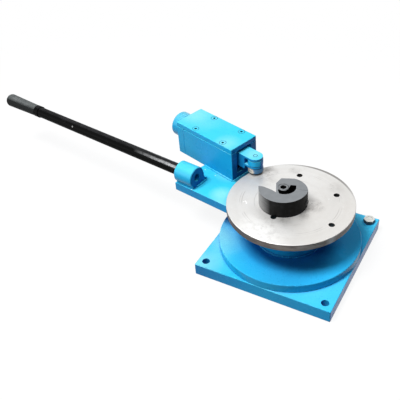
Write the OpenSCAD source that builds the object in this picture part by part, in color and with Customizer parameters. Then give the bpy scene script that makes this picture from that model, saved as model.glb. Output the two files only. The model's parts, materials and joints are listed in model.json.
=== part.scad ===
// Bench scroll bender: a fixed faceplate with a scroll die, and a lever arm with a sprung roller
// Z is up. The origin is on the spindle's axis, at the underside of the base plate.

/* [Base] */
// Side of the square base plate
base_w = 250; // [230:1:300]
// Thickness of the base plate
base_t = 24; // [16:1:32]
// Distance of each corner hole from the edges of the base plate
base_hole_inset = 15; // [13:0.5:20]
// Diameter of the corner holes
base_hole_d = 13.5; // [12.5:0.1:15]
// Width of the base plate's edge that the raised round plate leaves free
riser_margin = 0; // [0:0.5:20]
// Thickness of the raised round plate
riser_t = 16; // [8:1:24]
// Width across the flats of the mounting bolt's head
bolt_head_flats = 18; // [17:0.5:20]
// Height of the mounting bolt's head
bolt_head_t = 7.5; // [5:0.5:10]
// Shank diameter of the mounting bolt
bolt_d = 12; // [8:0.5:12]
// Shank length of the mounting bolt
bolt_len = 20; // [12:1:22]

/* [Pedestal and spindle] */
// Diameter of the pedestal under the arm
pedestal_d = 118; // [90:1:140]
// Height of the pedestal
pedestal_h = 38.5; // [30:0.5:70]
// Diameter of the spindle
spindle_d = 52; // [48:1:60]
// Thickness of the thrust washer under the arm
washer_t = 1.7; // [1:0.1:4]
// Thickness of the thrust ring between the arm and the faceplate
ring_t = 5.2; // [2:0.1:8]
// Outer diameter of the thrust washer and of the thrust ring
washer_d = 96; // [75:1:104]
// Wall of the arm's bush
bush_wall = 4; // [2:0.5:6]

/* [Faceplate] */
// Diameter of the faceplate
plate_d = 219; // [180:1:240]
// Thickness of the faceplate
plate_t = 13.4; // [10:0.2:20]
// Chamfer on the faceplate's rim
plate_chamfer = 0.8; // [0.3:0.1:2]
// Diameter of the pin holes for larger formers
former_hole_d = 10.5; // [6:0.5:14]
// Pitch radius of the screws and dowels that hold the faceplate on the spindle
hold_r = 18; // [17:0.5:19]
// Thread diameter of the faceplate screws
hold_screw_d = 8; // [6:0.5:8]
// Head diameter of the faceplate screws
hold_head_d = 15; // [12:0.5:15]
// Diameter of the faceplate dowels
dowel_d = 8; // [4:0.5:8]
// Length of the faceplate screws
hold_len = 32; // [25:1:40]

/* [Scroll die] */
// Radius of the die's round back
die_r = 41.8; // [36:0.1:43]
// Height of the die
die_h = 32; // [20:1:40]
// Distance of the die's screw from the spindle's axis
die_offset = 12; // [8:0.5:14]
// Direction of the die's screw from the spindle's axis
die_bearing = 209.4; // [180:0.1:240]
// Radius of the die's core inside the curved slot
slot_in_r = 8.6; // [7.6:0.1:8.9]
// Outer radius of the die's curved slot
slot_out_r = 19.5; // [18:0.1:20]
// Head diameter of the die screw
die_head_d = 18; // [15:0.5:19]
// Head height of the die screw
die_head_t = 12; // [8:0.5:14]
// Thread diameter of the die screw
die_screw_d = 12; // [8:0.5:12]
// Depth that the die screw reaches below the die
die_screw_reach = 30; // [20:1:40]
// Width across the flats of the die screw's socket
die_key = 10; // [6:0.5:11]
// Diameter of the tie screw in the die's side
tie_d = 11; // [6:0.5:12]
// Depth of the tie screw in the die
tie_depth = 14; // [8:1:16]
// Height that the tie screw's head stands out of the die's side
tie_out = 1.8; // [0.5:0.1:3]
// Height of the tie screw above the faceplate
tie_z = 12; // [7:0.5:20]

/* [Arm] */
// Direction of the arm about the spindle
arm_angle = -17.4; // [-60:0.1:60]
// Thickness of the arm plate
arm_t = 16; // [10:0.5:20]
// Radius of the arm plate round the spindle
arm_hub_r = 55.5; // [48:0.5:70]
// Length of the ram box that sits on the arm plate
box_seat = 77.2; // [65:0.1:100]
// Reach of the arm plate's lever corner to the side
arm_reach = 82; // [80:1:100]

/* [Ram box] */
// Distance between the faceplate's rim and the box's open front
box_gap = 22.3; // [16:0.1:30]
// Length of the box with its rear plate
box_len = 149; // [148:1:170]
// Width of the box
box_w = 64.6; // [62:0.1:72]
// Distance of the box's centre plane from the spindle's axis
box_side = 24.2; // [22:0.1:27]
// Thickness of the box's side walls
wall_t = 14; // [12:0.1:14]
// Height of the box's side walls
wall_h = 58.6; // [58:0.1:66]
// Thickness of the box's floor
floor_t = 12; // [8:0.5:14]
// Thickness of the wear strip on the floor
wear_t = 8; // [7.5:0.1:9]
// Thickness of the lid
lid_t = 10; // [6:0.5:12]
// Thickness of the rear plate
rear_t = 17.5; // [14:0.5:20]
// Distance of the front lid screws from the box's front
lid_screw_front = 29.5; // [15:0.5:40]
// Distance of the rear lid screws from the box's back
lid_screw_rear = 46.5; // [30:0.5:60]
// Distance of the box's screws from its sides
box_screw_inset = 8; // [7.5:0.1:9]
// Thread diameter of the box's screws
box_screw_d = 6; // [4:0.5:7]
// Head diameter of the box's screws
box_head_d = 11.8; // [9:0.1:13]
// Length of the box's screws
box_screw_len = 26; // [21:1:32]
// Width across the flats of the box screws' sockets
box_key = 4.6; // [2.5:0.1:6]

/* [Ram and rollers] */
// Length of the ram's guided body
ram_len = 91; // [85:1:92]
// Distance of the guided body's front from the box's front
ram_recess = 10; // [6:0.5:12]
// Width of the ram's nose
nose_w = 27; // [24:0.5:27]
// Height of the ram's nose
nose_h = 28; // [26:0.5:29]
// Distance of the roller pin from the box's front
pin_out = 28.3; // [27:0.1:32]
// Thickness of the nose's two ears
ear_t = 4; // [3:0.1:6]
// Height of the slot between the ears
ear_gap = 12.6; // [9:0.1:14]
// Distance from the roller pin back to the end of the slot
slot_back = 15; // [14.8:0.1:18]
// Diameter of the roller pin
pin_d = 12; // [8:0.5:12]
// Diameter of the two rollers
roller_d = 28; // [24:0.5:29]
// Height of the lower roller
low_roller_h = 10.4; // [8:0.1:12]
// Diameter of the pin's head in the lower roller
pin_head_d = 19; // [15:0.5:21]
// Height of the pin's head
pin_head_t = 3.2; // [2:0.1:4]
// Diameter of the bore that holds the spring
spring_bore_d = 22; // [20:0.5:23]
// Wire diameter of the pressure spring
spring_wire = 2.6; // [1.5:0.1:3]
// Outer diameter of the pressure spring
spring_d = 20.6; // [18:0.1:21.5]
// Number of coils of the pressure spring
spring_coils = 9; // [5:1:14]
// Distance that the ram can be pushed back against its spring
spring_travel = 18; // [8:1:20]
// Thickness of the cap on the ram's back
cap_t = 6; // [4:0.5:8]

/* [Feed screw] */
// Diameter of the feed screw
screw_d = 12; // [8:0.5:13]
// Travel of the spring seat along the feed screw
feed_travel = 56; // [40:1:60]
// Thickness of the spring seat
seat_t = 12; // [8:0.5:14]
// Thickness of the feed screw's shoulder
shoulder_t = 4; // [2:0.5:4]
// Diameter of the feed screw's shoulder
shoulder_d = 22; // [16:0.5:30]
// Diameter of the feed knob and of its collar
knob_d = 48.5; // [36:0.5:52]
// Length of the feed knob
knob_t = 22; // [10:0.2:30]
// Length of the collar between the knob and the box
collar_t = 6; // [3:0.5:10]
// Width across the flats of the key socket in the feed screw's end
screw_key = 8; // [5:0.5:9]

/* [Lever] */
// Distance of the socket's front face behind the box's open front
socket_back = 37.6; // [34:0.1:42]
// Distance of the socket's front face to the side of the spindle's axis
socket_side = 61; // [59:0.1:64]
// Angle between the lever and the ram box
lever_yaw = 8.9; // [0:0.1:12]
// Outer diameter of the lever socket
socket_d = 39.2; // [30:0.2:40]
// Length of the lever socket
socket_len = 39.5; // [30:0.5:44]
// Width that the socket's foot adds on the box's side
foot_flare = 8.5; // [0:0.5:14]
// Height of the lever's axis above the arm plate
lever_rise = 19.9; // [19.6:0.1:24]
// Diameter of the lever
lever_d = 22.2; // [17:0.2:23]
// Diameter of the lever's threaded end
stud_d = 15.5; // [12:0.5:16.5]
// Length of the lever's threaded end
stud_len = 26; // [18:1:30]
// Length of the lever behind the socket
lever_len = 508; // [400:1:700]
// Diameter of the grip at its outer end
grip_d = 27.8; // [25:0.2:34]
// Diameter of the grip next to the ferrule
grip_neck_d = 24; // [23.6:0.2:30]
// Length of the grip
grip_len = 96.5; // [80:0.5:130]
// Length of the ferrule ahead of the grip
ferrule_len = 13; // [8:1:24]
// Wall of the ferrule
ferrule_wall = 1.4; // [0.8:0.1:2]

/* [Fits] */
// Radial running clearance of the shafts in their bores
run_gap = 0.05; // [0.02:0.01:0.09]
// Axial play of the turning pieces
play = 0.3; // [0.2:0.05:0.4]
// Gap round the sliding pieces
slide_gap = 0.3; // [0.3:0.05:0.5]
// Clearance of screws and bolts in plain holes
hole_gap = 0.6; // [0.2:0.1:0.7]

/* [Hidden] */

// Segments of a full circle, so that round faces stay true
$fn = 96;
// Overrun of every cut past the face that it opens
over = 1;
// Chamfer on turned and sawn plates
edge = 1;
// Chamfer on fitted edges
fine_edge = 0.4;
// Chamfer on the box's plates, which shows as a groove along their joints
joint_edge = 0.8;

// Colours
paint = [0.16, 0.66, 0.90];
steel = [0.86, 0.86, 0.85];
dark_steel = [0.36, 0.37, 0.39];
zinc = [0.72, 0.72, 0.70];
bronze = [0.72, 0.55, 0.28];
black = [0.06, 0.06, 0.07];
grip_grey = [0.18, 0.18, 0.19];

// Raised round plate
riser_d = base_w - 2 * riser_margin;

// Heights of the stack on the spindle's axis
riser_z = base_t;
pedestal_z = riser_z + riser_t;
low_washer_z = pedestal_z + pedestal_h;
arm_z = low_washer_z + washer_t + play;
arm_top = arm_z + arm_t;
thrust_ring_z = arm_top + play;
plate_z = thrust_ring_z + ring_t;
plate_top = plate_z + plate_t;

// Pedestal and spindle
bush_d = spindle_d + 2 * run_gap + 2 * bush_wall;
washer_in_d = spindle_d + 2 * hole_gap;
spindle_chamfer = 1;

// Faceplate holes
former_r_shares = [0.700, 0.738, 0.808, 0.457];
former_bearings = [101, 37, -18, -100];
former_chamfer = 0.6;
hold_angles = [-90, 0, 90];
dowel_angles = [135, -135];
dowel_len = 20;
hold_key = 5;

// Die outline as shares of the die's radius, counted from its screw
tip_share = [-0.932, -0.343];
tongue_shares = [[-0.790, -0.300], [-0.557, -0.326], [-0.331, -0.363]];
notch_share = [-0.118, -0.440];
nose_low_share = [-0.370, 0.110];
nose_high_share = [-0.311, 0.500];
nose_r_share = 0.713;
nose_end_angle = 75.4;
seam_angle = 10.5;
tip_angle = -159.8;
slot_mid_share = [0.043, 0.017];
slot_shares = [[0, 0], [-0.132, -0.251], [0.146, -0.634], [0.718, -0.634],
    [0.718, 0.411], [0.203, 0.239], [0.225, 0.026]];
seam_w = 0.6;
slot_floor = 4;
tie_angle = 2;
tie_key = 5;
die_key_share = 0.75;

// Mounting bolt
bolt_turn = 20;
bolt_dish = 0.6;

// Arm plate
box_front = plate_d / 2 + box_gap;
arm_end = box_front + box_seat;
socket_front = box_front + socket_back;
arm_far_ledge = 6;
corner_r = norm([arm_end, arm_reach]);
edge_yaw = atan2(arm_reach, arm_end) - asin(arm_hub_r / corner_r);

// Ram box in the arm's frame: the arm points along -X, the lever side is -Y
box_back = box_front + box_len;
box_near = box_side - box_w / 2;
box_far = box_side + box_w / 2;
rear_in = box_back - rear_t;
lid_z = arm_top + wall_h;
screw_near = box_near + box_screw_inset;
screw_far = box_far - box_screw_inset;
rear_screw_low = 12;

// Ram, counted at rest
ram_side = box_side;
body_front = box_front + ram_recess;
body_back = body_front + ram_len;
body_near = box_near + wall_t + slide_gap;
body_far = box_far - wall_t - slide_gap;
body_low = arm_top + floor_t + wear_t + slide_gap;
body_high = lid_z - slide_gap;
ram_z = (body_low + body_high) / 2;
pin_x = box_front - pin_out;
nose_top = ram_z + nose_h / 2;
nose_low = ram_z - nose_h / 2;
slot_top = nose_top - ear_t;
slot_low = slot_top - ear_gap;
low_ear = slot_low - ear_t;
spacer_t = 1.6;
spacer_d = 20;
low_roller_top = low_ear - spacer_t - play;
low_roller_low = low_roller_top - low_roller_h;
roller_edge = 1.2;
pin_head_rise = 0.4;
pin_proud = 0.4;

// Feed screw, spring seat and spring, counted at rest
shoulder_front = rear_in - play - shoulder_t;
seat_back = body_back - play;
seat_front = seat_back - seat_t;
screw_end = seat_front - feed_travel;
screw_hole_end = screw_end - spring_travel - over;
spring_lead = 4;
spring_front = screw_end + spring_lead;
spring_len = seat_front - spring_front;
cap_hole_d = screw_d + 2 * hole_gap;
journal_d = 16;
cap_screw_d = 4;
cap_head_d = 7.6;
cap_screw_len = 16;
cap_screw_inset = 5;
spring_end_gap = 0.3;

// Lever
socket_bore_d = stud_d;
grip_round = 8;
grip_over = 12;
socket_edge = 1.2;
foot_flare_h = 10;
foot_near_share = 0.66;

// Basic shapes

// A block between two corners, chamfered on all its edges
module block(low, high, c) {
    size = high - low;
    translate(low) intersection() {
        linear_extrude(height = size[2]) cut_rectangle(size[0], size[1], c);
        translate([0, size[1], 0]) rotate([90, 0, 0])
            linear_extrude(height = size[1]) cut_rectangle(size[0], size[2], c);
        rotate([90, 0, 90]) linear_extrude(height = size[0]) cut_rectangle(size[1], size[2], c);
    }
}

module cut_rectangle(w, h, c) {
    polygon([[c, 0], [w - c, 0], [w, c], [w, h - c], [w - c, h], [c, h], [0, h - c], [0, c]]);
}

// A turned disc with a chamfer on both rims, standing on z = 0
module turned(r, h, c) {
    rotate_extrude() polygon([[0, 0], [r - c, 0], [r, c], [r, h - c], [r - c, h], [0, h]]);
}

// A turned ring with chamfered outer rims, standing on z = 0
module ring(r, bore_r, h, c) {
    rotate_extrude()
        polygon([[bore_r, 0], [r - c, 0], [r, c], [r, h - c], [r - c, h], [bore_r, h]]);
}

module hexagon(flats, h) {
    cylinder(d = flats / cos(30), h = h, $fn = 6);
}

// A countersunk screw with its head's face at z = 0 and its shank along -Z
module countersunk(head_d, d, len, key) {
    head_h = (head_d - d) / 2;
    difference() {
        union() {
            translate([0, 0, -head_h]) cylinder(d1 = d, d2 = head_d, h = head_h);
            translate([0, 0, -len]) cylinder(d = d, h = len - head_h / 2);
        }
        translate([0, 0, -head_h]) hexagon(key, head_h + over);
    }
}

// The hole for a countersunk screw, opened past the face by the overrun
module countersink(head_d, d, len) {
    head_h = (head_d - d) / 2;
    translate([0, 0, -head_h]) cylinder(d1 = d, d2 = head_d, h = head_h);
    cylinder(d = head_d, h = over);
    translate([0, 0, -len]) cylinder(d = d, h = len);
}

// Frame of the arm, turned about the spindle
module in_arm() {
    rotate([0, 0, arm_angle]) children();
}

// Frame of the ram's axis: +Z runs from the box's back towards the spindle, and z = 0 is above the spindle
module on_ram_axis() {
    in_arm() translate([0, ram_side, ram_z]) rotate([0, 90, 0]) children();
}

// Frame of the roller pin, with the arm's height scale
module on_pin() {
    in_arm() translate([-pin_x, ram_side, 0]) children();
}

// Frame of the lever: +Z runs outwards from the socket's front face
module on_lever() {
    in_arm() translate([-socket_front, -socket_side, arm_top + lever_rise])
        rotate([0, 0, lever_yaw]) rotate([0, -90, 0]) children();
}

// Base

module base_plate() {
    color(paint) difference() {
        block([-base_w / 2, -base_w / 2, 0], [base_w / 2, base_w / 2, base_t], edge);
        at_base_holes([0, 1, 2, 3]) translate([0, 0, -over])
            cylinder(d = base_hole_d, h = base_t + 2 * over);
    }
}

module at_base_holes(which) {
    reach = base_w / 2 - base_hole_inset;
    for (i = which) rotate([0, 0, 90 * i]) translate([reach, reach, 0]) children();
}

module riser_plate() {
    color(paint) translate([0, 0, riser_z]) difference() {
        turned(riser_d / 2, riser_t, edge);
        translate([0, 0, -over]) cylinder(r = spindle_d / 2 + run_gap, h = riser_t + 2 * over);
    }
}

module mounting_bolt() {
    color(zinc) at_base_holes([0]) translate([0, 0, base_t]) {
        difference() {
            intersection() {
                rotate([0, 0, bolt_turn]) hexagon(bolt_head_flats, bolt_head_t);
                turned(bolt_head_flats / 2 / cos(30), bolt_head_t, edge);
            }
            translate([0, 0, bolt_head_t - bolt_dish]) cylinder(d = bolt_d, h = bolt_dish + over);
        }
        translate([0, 0, -bolt_len]) cylinder(d = bolt_d, h = bolt_len);
    }
}

module pedestal() {
    color(paint) translate([0, 0, pedestal_z])
        ring(pedestal_d / 2, spindle_d / 2 + run_gap, pedestal_h, edge);
}

module spindle() {
    color(zinc) difference() {
        translate([0, 0, riser_z]) turned(spindle_d / 2, plate_z - riser_z, spindle_chamfer);
        translate([0, 0, plate_top]) {
            at_hold_screws() translate([0, 0, -hold_len]) cylinder(d = hold_screw_d, h = hold_len);
            at_dowels() translate([0, 0, -dowel_len - plate_t / 2]) cylinder(d = dowel_d, h = dowel_len);
            at_die() translate([0, 0, -die_screw_reach]) cylinder(d = die_screw_d, h = die_screw_reach);
        }
    }
}

module thrust_washer() {
    color(bronze) translate([0, 0, low_washer_z]) ring(washer_d / 2, washer_in_d / 2, washer_t, fine_edge);
}

module thrust_ring() {
    color(steel) translate([0, 0, thrust_ring_z]) ring(washer_d / 2, washer_in_d / 2, ring_t, fine_edge);
}

// Faceplate

module at_hold_screws() {
    for (a = hold_angles) rotate([0, 0, die_bearing + 180 + a]) translate([hold_r, 0, 0]) children();
}

module at_dowels() {
    for (a = dowel_angles) rotate([0, 0, die_bearing + 180 + a]) translate([hold_r, 0, 0]) children();
}

module at_die() {
    rotate([0, 0, die_bearing]) translate([die_offset, 0, 0]) rotate([0, 0, -die_bearing]) children();
}

module faceplate() {
    color(steel) difference() {
        translate([0, 0, plate_z]) turned(plate_d / 2, plate_t, plate_chamfer);
        for (i = [0 : len(former_bearings) - 1])
            rotate([0, 0, former_bearings[i]])
                translate([former_r_shares[i] * plate_d / 2, 0, plate_z - over])
                    cylinder(d = former_hole_d, h = plate_t + 2 * over);
        translate([0, 0, plate_top]) {
            at_hold_screws() countersink(hold_head_d, hold_screw_d, plate_t + over);
            at_dowels() translate([0, 0, -plate_t - over]) cylinder(d = dowel_d, h = plate_t / 2 + over);
            at_die() translate([0, 0, -plate_t - over]) cylinder(d = die_screw_d, h = plate_t + 2 * over);
        }
    }
}

module faceplate_screws() {
    color(zinc) translate([0, 0, plate_top]) at_hold_screws()
        countersunk(hold_head_d, hold_screw_d, hold_len, hold_key);
}

module faceplate_dowels() {
    color(zinc) translate([0, 0, plate_top - plate_t / 2]) at_dowels()
        translate([0, 0, -dowel_len]) cylinder(d = dowel_d, h = dowel_len);
}

// Scroll die

// Radius of the die's spiral nose at a bearing, as a share of the die's radius
function nose_share(a) = 1 - (1 - nose_r_share) * (a - seam_angle) / (nose_end_angle - seam_angle);

// The curved slot round the die's core, open to the recess of the screw's head
module slot_plan() {
    difference() {
        intersection() {
            translate(die_r * slot_mid_share) circle(r = slot_out_r);
            polygon([for (p = slot_shares) die_r * p]);
        }
        circle(r = slot_in_r);
    }
}

module die_plan() {
    steps = 24;
    intersection() {
        circle(r = die_r);
        polygon(concat(
            [for (p = tongue_shares) die_r * p],
            [die_r * notch_share, die_r * nose_low_share, die_r * nose_high_share],
            [for (i = [0 : steps]) let (a = nose_end_angle + (seam_angle - nose_end_angle) * i / steps)
                die_r * nose_share(a) * [cos(a), sin(a)]],
            [for (i = [0 : steps]) let (a = seam_angle + (tip_angle - seam_angle) * i / steps)
                2 * die_r * [cos(a), sin(a)]],
            [die_r * tip_share]
        ));
    }
}

module scroll_die() {
    color(dark_steel) translate([0, 0, plate_top]) at_die() difference() {
        linear_extrude(height = die_h) die_plan();
        translate([0, 0, slot_floor]) linear_extrude(height = die_h) slot_plan();
        translate([0, 0, -over]) cylinder(d = die_screw_d + 2 * hole_gap, h = die_h);
        translate([0, 0, die_h - die_head_t]) cylinder(d = die_head_d + slide_gap, h = die_head_t + over);
        rotate([0, 0, seam_angle]) translate([slot_out_r - over, -seam_w / 2, slot_floor])
            cube([die_r, seam_w, die_h]);
        at_tie() translate([0, 0, -tie_depth]) cylinder(d = tie_d, h = tie_depth + over);
    }
}

// Frame of the tie screw: +Z points out of the die's side
module at_tie() {
    rotate([0, 0, tie_angle]) translate([die_r, 0, tie_z]) rotate([0, 90, 0]) children();
}

module die_screw() {
    color(zinc) translate([0, 0, plate_top]) at_die() difference() {
        union() {
            translate([0, 0, die_h - die_head_t]) turned(die_head_d / 2, die_head_t, edge);
            translate([0, 0, -die_screw_reach])
                cylinder(d = die_screw_d, h = die_screw_reach + die_h - die_head_t / 2);
        }
        translate([0, 0, die_h - die_key_share * die_head_t]) hexagon(die_key, die_head_t);
    }
}

module die_tie_screw() {
    color(black) translate([0, 0, plate_top]) at_die() at_tie() difference() {
        translate([0, 0, -tie_depth]) turned(tie_d / 2, tie_depth + tie_out, edge);
        translate([0, 0, -tie_d / 2]) hexagon(tie_key, tie_d);
    }
}

// Arm

module arm_plate() {
    color(paint) in_arm() translate([0, 0, arm_z]) linear_extrude(height = arm_t) difference() {
        union() {
            circle(r = arm_hub_r);
            polygon([
                [-arm_end, -arm_reach],
                arm_hub_r * [sin(edge_yaw), -cos(edge_yaw)],
                [0, arm_hub_r],
                [-box_front, box_far + arm_far_ledge],
                [-arm_end, box_far + arm_far_ledge]
            ]);
        }
        circle(d = bush_d);
    }
}

module arm_bush() {
    color(bronze) translate([0, 0, arm_z]) ring(bush_d / 2, spindle_d / 2 + run_gap, arm_t, 0);
}

module box_wall(y0, y1) {
    color(paint) in_arm() difference() {
        block([-rear_in, y0, arm_top], [-box_front, y1, lid_z], joint_edge);
        translate([0, 0, lid_z]) at_lid_screws() translate([0, 0, -box_screw_len])
            cylinder(d = box_screw_d, h = box_screw_len + over);
        at_rear_screws() translate([0, 0, -box_screw_len]) cylinder(d = box_screw_d, h = box_screw_len);
    }
}

module box_near_wall() {
    box_wall(box_near, box_near + wall_t);
}

module box_far_wall() {
    box_wall(box_far - wall_t, box_far);
}

module box_floor() {
    color(paint) in_arm() translate([-rear_in, box_near + wall_t, arm_top])
        cube([rear_in - box_front, box_w - 2 * wall_t, floor_t]);
}

module wear_strip() {
    color(bronze) in_arm() translate([-rear_in, box_near + wall_t, arm_top + floor_t])
        cube([rear_in - body_front, box_w - 2 * wall_t, wear_t]);
}

module at_lid_screws() {
    for (x = [box_front + lid_screw_front, box_back - lid_screw_rear], y = [screw_near, screw_far])
        translate([-x, y, 0]) children();
}

// Frames of the rear plate's screws: +Z points out of the box's back
module at_rear_screws() {
    for (y = [screw_near, screw_far], z = [arm_top + rear_screw_low, lid_z - rear_screw_low])
        translate([-box_back, y, z]) rotate([0, -90, 0]) children();
}

module box_lid() {
    color(paint) in_arm() difference() {
        block([-box_back, box_near, lid_z], [-box_front, box_far, lid_z + lid_t], joint_edge);
        translate([0, 0, lid_z + lid_t]) at_lid_screws()
            countersink(box_head_d + 2 * hole_gap, box_screw_d + hole_gap, lid_t + over);
    }
}

module lid_screws() {
    color(paint) in_arm() translate([0, 0, lid_z + lid_t]) at_lid_screws()
        countersunk(box_head_d, box_screw_d, box_screw_len, box_key);
}

module rear_plate() {
    color(paint) difference() {
        in_arm() difference() {
            block([-box_back, box_near, arm_top], [-rear_in, box_far, lid_z], joint_edge);
            at_rear_screws() countersink(box_head_d + hole_gap, box_screw_d + hole_gap, rear_t + over);
        }
        on_ram_axis() translate([0, 0, -box_back - over])
            cylinder(r = journal_d / 2 + run_gap, h = rear_t + 2 * over);
    }
}

module rear_plate_screws() {
    color(zinc) in_arm() at_rear_screws() countersunk(box_head_d, box_screw_d, box_screw_len, box_key);
}

module screw_collar() {
    color(paint) on_ram_axis() translate([0, 0, -box_back - collar_t])
        ring(knob_d / 2, journal_d / 2 + run_gap, collar_t, edge);
}

// Feed screw and spring seat

module feed_knob() {
    color(paint) on_ram_axis() translate([0, 0, -box_back - collar_t - play - knob_t])
        ring(knob_d / 2, journal_d / 2, knob_t, 2 * edge);
}

module feed_screw() {
    journal_len = rear_t + collar_t + knob_t + 2 * play;
    color(zinc) on_ram_axis() difference() {
        union() {
            translate([0, 0, -rear_in + play - journal_len])
                cylinder(d = journal_d, h = journal_len + shoulder_t / 2);
            translate([0, 0, -rear_in + play]) cylinder(d = shoulder_d, h = shoulder_t);
            translate([0, 0, -shoulder_front - shoulder_t / 2])
                cylinder(d = screw_d, h = shoulder_front + shoulder_t / 2 - screw_end);
        }
        translate([0, 0, -rear_in + play - journal_len - over]) hexagon(screw_key, knob_t / 2 + over);
    }
}

module spring_seat() {
    seat_w = spring_bore_d - 2 * slide_gap;
    color(bronze) on_ram_axis() translate([0, 0, -seat_back]) difference() {
        translate([-seat_w / 2, -seat_w / 2, 0]) cube([seat_w, seat_w, seat_t]);
        translate([0, 0, -over]) cylinder(r = screw_d / 2 + run_gap, h = seat_t + 2 * over);
    }
}

// Ram

module ram() {
    color(paint) difference() {
        in_arm() {
            block([-body_back, body_near, body_low], [-body_front, body_far, body_high], fine_edge);
            ram_nose();
        }
        on_ram_axis() {
            translate([0, 0, -body_back - over])
                cylinder(d = spring_bore_d, h = body_back - spring_front + over);
            translate([-spring_bore_d / 2, -spring_bore_d / 2, -body_back - over])
                cube([spring_bore_d, spring_bore_d, seat_t + spring_travel + play + 2 * over]);
            translate([0, 0, -spring_front - over])
                cylinder(d = cap_hole_d, h = spring_front - screw_hole_end + over);
            at_cap_screws() translate([0, 0, -body_back - over])
                cylinder(d = cap_screw_d, h = cap_screw_len - cap_t + 2 * over);
        }
        on_pin() translate([0, 0, low_ear - over]) cylinder(d = pin_d, h = nose_top - low_ear + 2 * over);
    }
}

// The nose: a bar with a round end, slotted for the upper roller and cut away under the lower ear
module ram_nose() {
    difference() {
        translate([0, ram_side, nose_low]) linear_extrude(height = nose_h) {
            translate([-pin_x, 0]) circle(d = nose_w);
            translate([-body_front - over, -nose_w / 2]) square([body_front + over - pin_x, nose_w]);
        }
        translate([-pin_x - slot_back, ram_side - nose_w, slot_low]) cube([2 * nose_w, 2 * nose_w, ear_gap]);
        translate([-pin_x - slot_back, ram_side - nose_w, nose_low - over])
            cube([2 * nose_w, 2 * nose_w, low_ear - nose_low + over]);
    }
}

// Places of the end cap's four screws round the ram's axis
module at_cap_screws() {
    for (y = [body_near + cap_screw_inset, body_far - cap_screw_inset])
        for (z = [body_low + cap_screw_inset, body_high - cap_screw_inset])
            translate([ram_z - z, y - ram_side, 0]) children();
}

module ram_end_cap() {
    color(dark_steel) difference() {
        in_arm()
            block([-body_back - cap_t, body_near, body_low], [-body_back, body_far, body_high], fine_edge);
        on_ram_axis() {
            translate([0, 0, -body_back - cap_t - over]) cylinder(d = cap_hole_d, h = cap_t + 2 * over);
            at_cap_screws() translate([0, 0, -body_back - cap_t]) rotate([180, 0, 0])
                countersink(cap_head_d, cap_screw_d, cap_t + over);
        }
    }
}

module ram_cap_screws() {
    color(zinc) on_ram_axis() at_cap_screws() translate([0, 0, -body_back - cap_t]) rotate([180, 0, 0])
        countersunk(cap_head_d, cap_screw_d, cap_screw_len, cap_screw_d / 2);
}

// Pressure spring: one unbroken tube along a helix

spring_rings = 8;
spring_sides = 6;
spring_mid_r = (spring_d - spring_wire) / 2;
spring_rise = spring_len - 2 * spring_end_gap - spring_wire;

// Centre of the wire after some turns
function spring_mid(t) = [
    spring_mid_r * cos(360 * t),
    spring_mid_r * sin(360 * t),
    spring_rise * t / spring_coils
];

// A point on the wire's surface
function spring_point(t, a) = let (
    out = [cos(360 * t), sin(360 * t), 0],
    flow = [-sin(360 * t), cos(360 * t), 0],
    slope = atan2(spring_rise / spring_coils, 2 * PI * spring_mid_r),
    up = [0, 0, cos(slope)] - sin(slope) * flow
) spring_mid(t) + spring_wire / 2 * (cos(a) * out + sin(a) * up);

module spring_tube() {
    count = spring_coils * spring_rings;
    points = [for (i = [0 : count], j = [0 : spring_sides - 1])
        spring_point(i / spring_rings, 360 * j / spring_sides)];
    sides = [for (i = [0 : count - 1], j = [0 : spring_sides - 1]) let (
        k = (j + 1) % spring_sides,
        a = i * spring_sides + j,
        b = i * spring_sides + k,
        c = a + spring_sides,
        d = b + spring_sides
    ) each [[a, b, c], [b, d, c]]];
    last = count * spring_sides;
    ends = [for (j = [1 : spring_sides - 2]) each [[0, j + 1, j], [last, last + j, last + j + 1]]];
    polyhedron(points, concat(sides, ends));
}

// Least gap of the wire to itself, measured between points a turn apart
spring_self_gap = min([for (i = [0 : spring_rings], j = [-1 : 1])
    norm(spring_mid(i / spring_rings) - spring_mid((i + j) / spring_rings + 1))]) - spring_wire;
echo(spring_self_gap = spring_self_gap);

module pressure_spring() {
    color(zinc) on_ram_axis() translate([0, 0, -seat_front + spring_end_gap + spring_wire / 2])
        spring_tube();
}

// Rollers

module roller_pin() {
    head_low = low_roller_low + pin_head_rise;
    color(paint) on_pin() {
        translate([0, 0, head_low]) turned(pin_head_d / 2, pin_head_t, fine_edge);
        translate([0, 0, head_low]) turned(pin_d / 2, nose_top + pin_proud - head_low, pin_proud);
    }
}

module upper_roller() {
    color(paint) on_pin() translate([0, 0, slot_low + play])
        ring(roller_d / 2, pin_d / 2 + run_gap, ear_gap - 2 * play, roller_edge);
}

module roller_spacer() {
    color(zinc) on_pin() translate([0, 0, low_ear - spacer_t])
        ring(spacer_d / 2, pin_d / 2, spacer_t, 0);
}

module lower_roller() {
    color(steel) on_pin() translate([0, 0, low_roller_low]) difference() {
        ring(roller_d / 2, pin_d / 2 + run_gap, low_roller_h, roller_edge);
        translate([0, 0, -over])
            cylinder(d = pin_head_d + 2 * slide_gap, h = pin_head_rise + pin_head_t + play + over);
    }
}

// Lever

module lever_socket() {
    color(paint) on_lever() difference() {
        union() {
            turned(socket_d / 2, socket_len, socket_edge);
            linear_extrude(height = socket_len) socket_foot();
        }
        translate([0, 0, -over]) cylinder(d = socket_bore_d, h = socket_len + 2 * over);
    }
}

// Cross section of the socket's foot: the plate lies at -X, the ram box at +Y
module socket_foot() {
    polygon([
        [0, -foot_near_share * socket_d / 2],
        [-lever_rise, -foot_near_share * socket_d / 2],
        [-lever_rise, socket_d / 2 + foot_flare],
        [foot_flare_h - lever_rise, socket_d / 2],
        [0, socket_d / 2]
    ]);
}

module lever_rod() {
    rod_len = lever_len - grip_over;
    color(black) on_lever() {
        translate([0, 0, socket_len - stud_len]) cylinder(d = stud_d, h = stud_len + lever_d / 2);
        translate([0, 0, socket_len]) cylinder(d = lever_d, h = rod_len);
    }
}

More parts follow.
